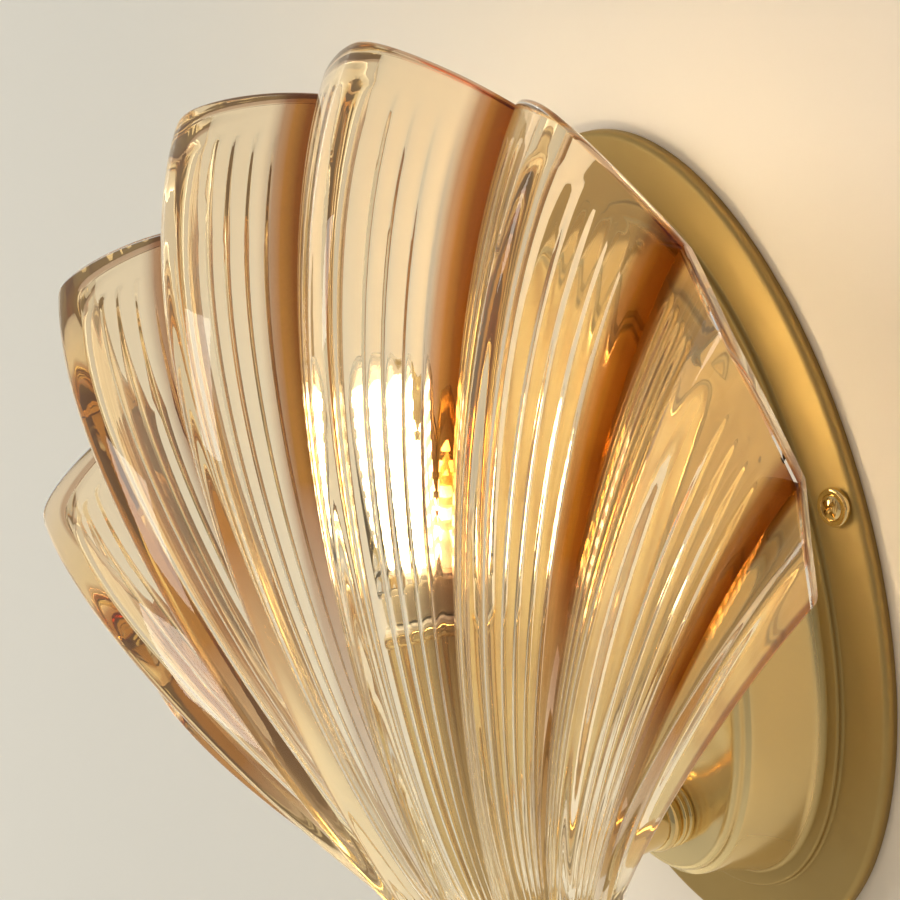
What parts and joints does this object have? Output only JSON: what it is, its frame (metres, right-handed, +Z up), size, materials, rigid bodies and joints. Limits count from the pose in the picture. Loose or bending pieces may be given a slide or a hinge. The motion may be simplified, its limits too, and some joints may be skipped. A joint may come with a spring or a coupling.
{
  "type": "wall sconce",
  "caption": "Wall sconce with an oval stepped brass back plate, a short brass arm with an upright lamp holder, and a ribbed amber pressed-glass shell standing in front of the lamp.",
  "frame": {"origin": "on the wall, at the centre of the wall bracket and of the oval back plate", "axes": "+Y into the wall, +Z up, +X to the right as seen from the room"},
  "size_m": [0.2162, 0.0993, 0.1946],
  "materials": {
    "satin_brass": "satin lacquered brass, polished platform",
    "bright_brass": "polished lacquered brass",
    "zinc_steel": "zinc plated",
    "black_rubber": "matte",
    "white_plastic": "moulded",
    "lead_sleeve": "woven glass-fibre sleeve",
    "white_ceramic": "unglazed steatite",
    "lamp_board": "white board",
    "lamp_glow": "phosphor, lit warm white",
    "clear_cover": "clear moulded",
    "clear_gasket": "translucent silicone",
    "amber_glass": "pressed glass, clear at the base and pale amber to the rim"
  },
  "bodies": {
    "fixture": {"back_plate": "satin_brass", "wall_bracket": "zinc_steel", "cable_grommet": "black_rubber", "earth_tag": "zinc_steel", "earth_screw": "bright_brass", "terminal_block": "white_plastic", "terminal_screws": "zinc_steel", "arm_tube": "bright_brass", "arm_collar": "bright_brass", "arm_thread": "zinc_steel", "arm_lock_washer": "zinc_steel", "arm_lock_nut": "zinc_steel", "supply_lead": "lead_sleeve", "holder_cup": "bright_brass", "holder_bridge": "zinc_steel", "holder_screws": "zinc_steel", "lamp_socket": "white_ceramic", "socket_contacts": "zinc_steel", "shade_post": "zinc_steel", "post_lock_nut": "zinc_steel", "upper_gasket": "clear_gasket"},
    "lamp": {"lamp_base": "white_plastic", "lamp_pins": "zinc_steel", "lamp_core": "lamp_board", "lamp_chips": "lamp_glow", "lamp_cover": "clear_cover"},
    "shade": {"glass_shade": "amber_glass", "lower_gasket": "clear_gasket", "post_washer": "bright_brass"},
    "finial": {"finial_nut": "bright_brass"},
    "left_screw": {"cover_screw_left": "bright_brass"},
    "right_screw": {"cover_screw_right": "bright_brass"}
  },
  "joints": [
    {"name": "lamp_pull", "type": "slide", "parent": "fixture", "child": "lamp", "axis": [0, 0, 1], "range_m": [0, 0.014]},
    {"name": "shade_turn", "type": "hinge", "parent": "fixture", "child": "shade", "pos_m": [0, -0.065, -0.067], "axis": [0, 0, 1], "range_deg": [-12, 12]},
    {"name": "finial_spin", "type": "hinge", "parent": "fixture", "child": "finial", "pos_m": [0, -0.065, -0.08], "axis": [0, 0, 1], "continuous": true},
    {"name": "left_screw_spin", "type": "hinge", "parent": "fixture", "child": "left_screw", "pos_m": [-0.0455, -0.003, 0], "axis": [0, -1, 0], "continuous": true},
    {"name": "right_screw_spin", "type": "hinge", "parent": "fixture", "child": "right_screw", "pos_m": [0.0455, -0.003, 0], "axis": [0, -1, 0], "continuous": true}
  ]
}
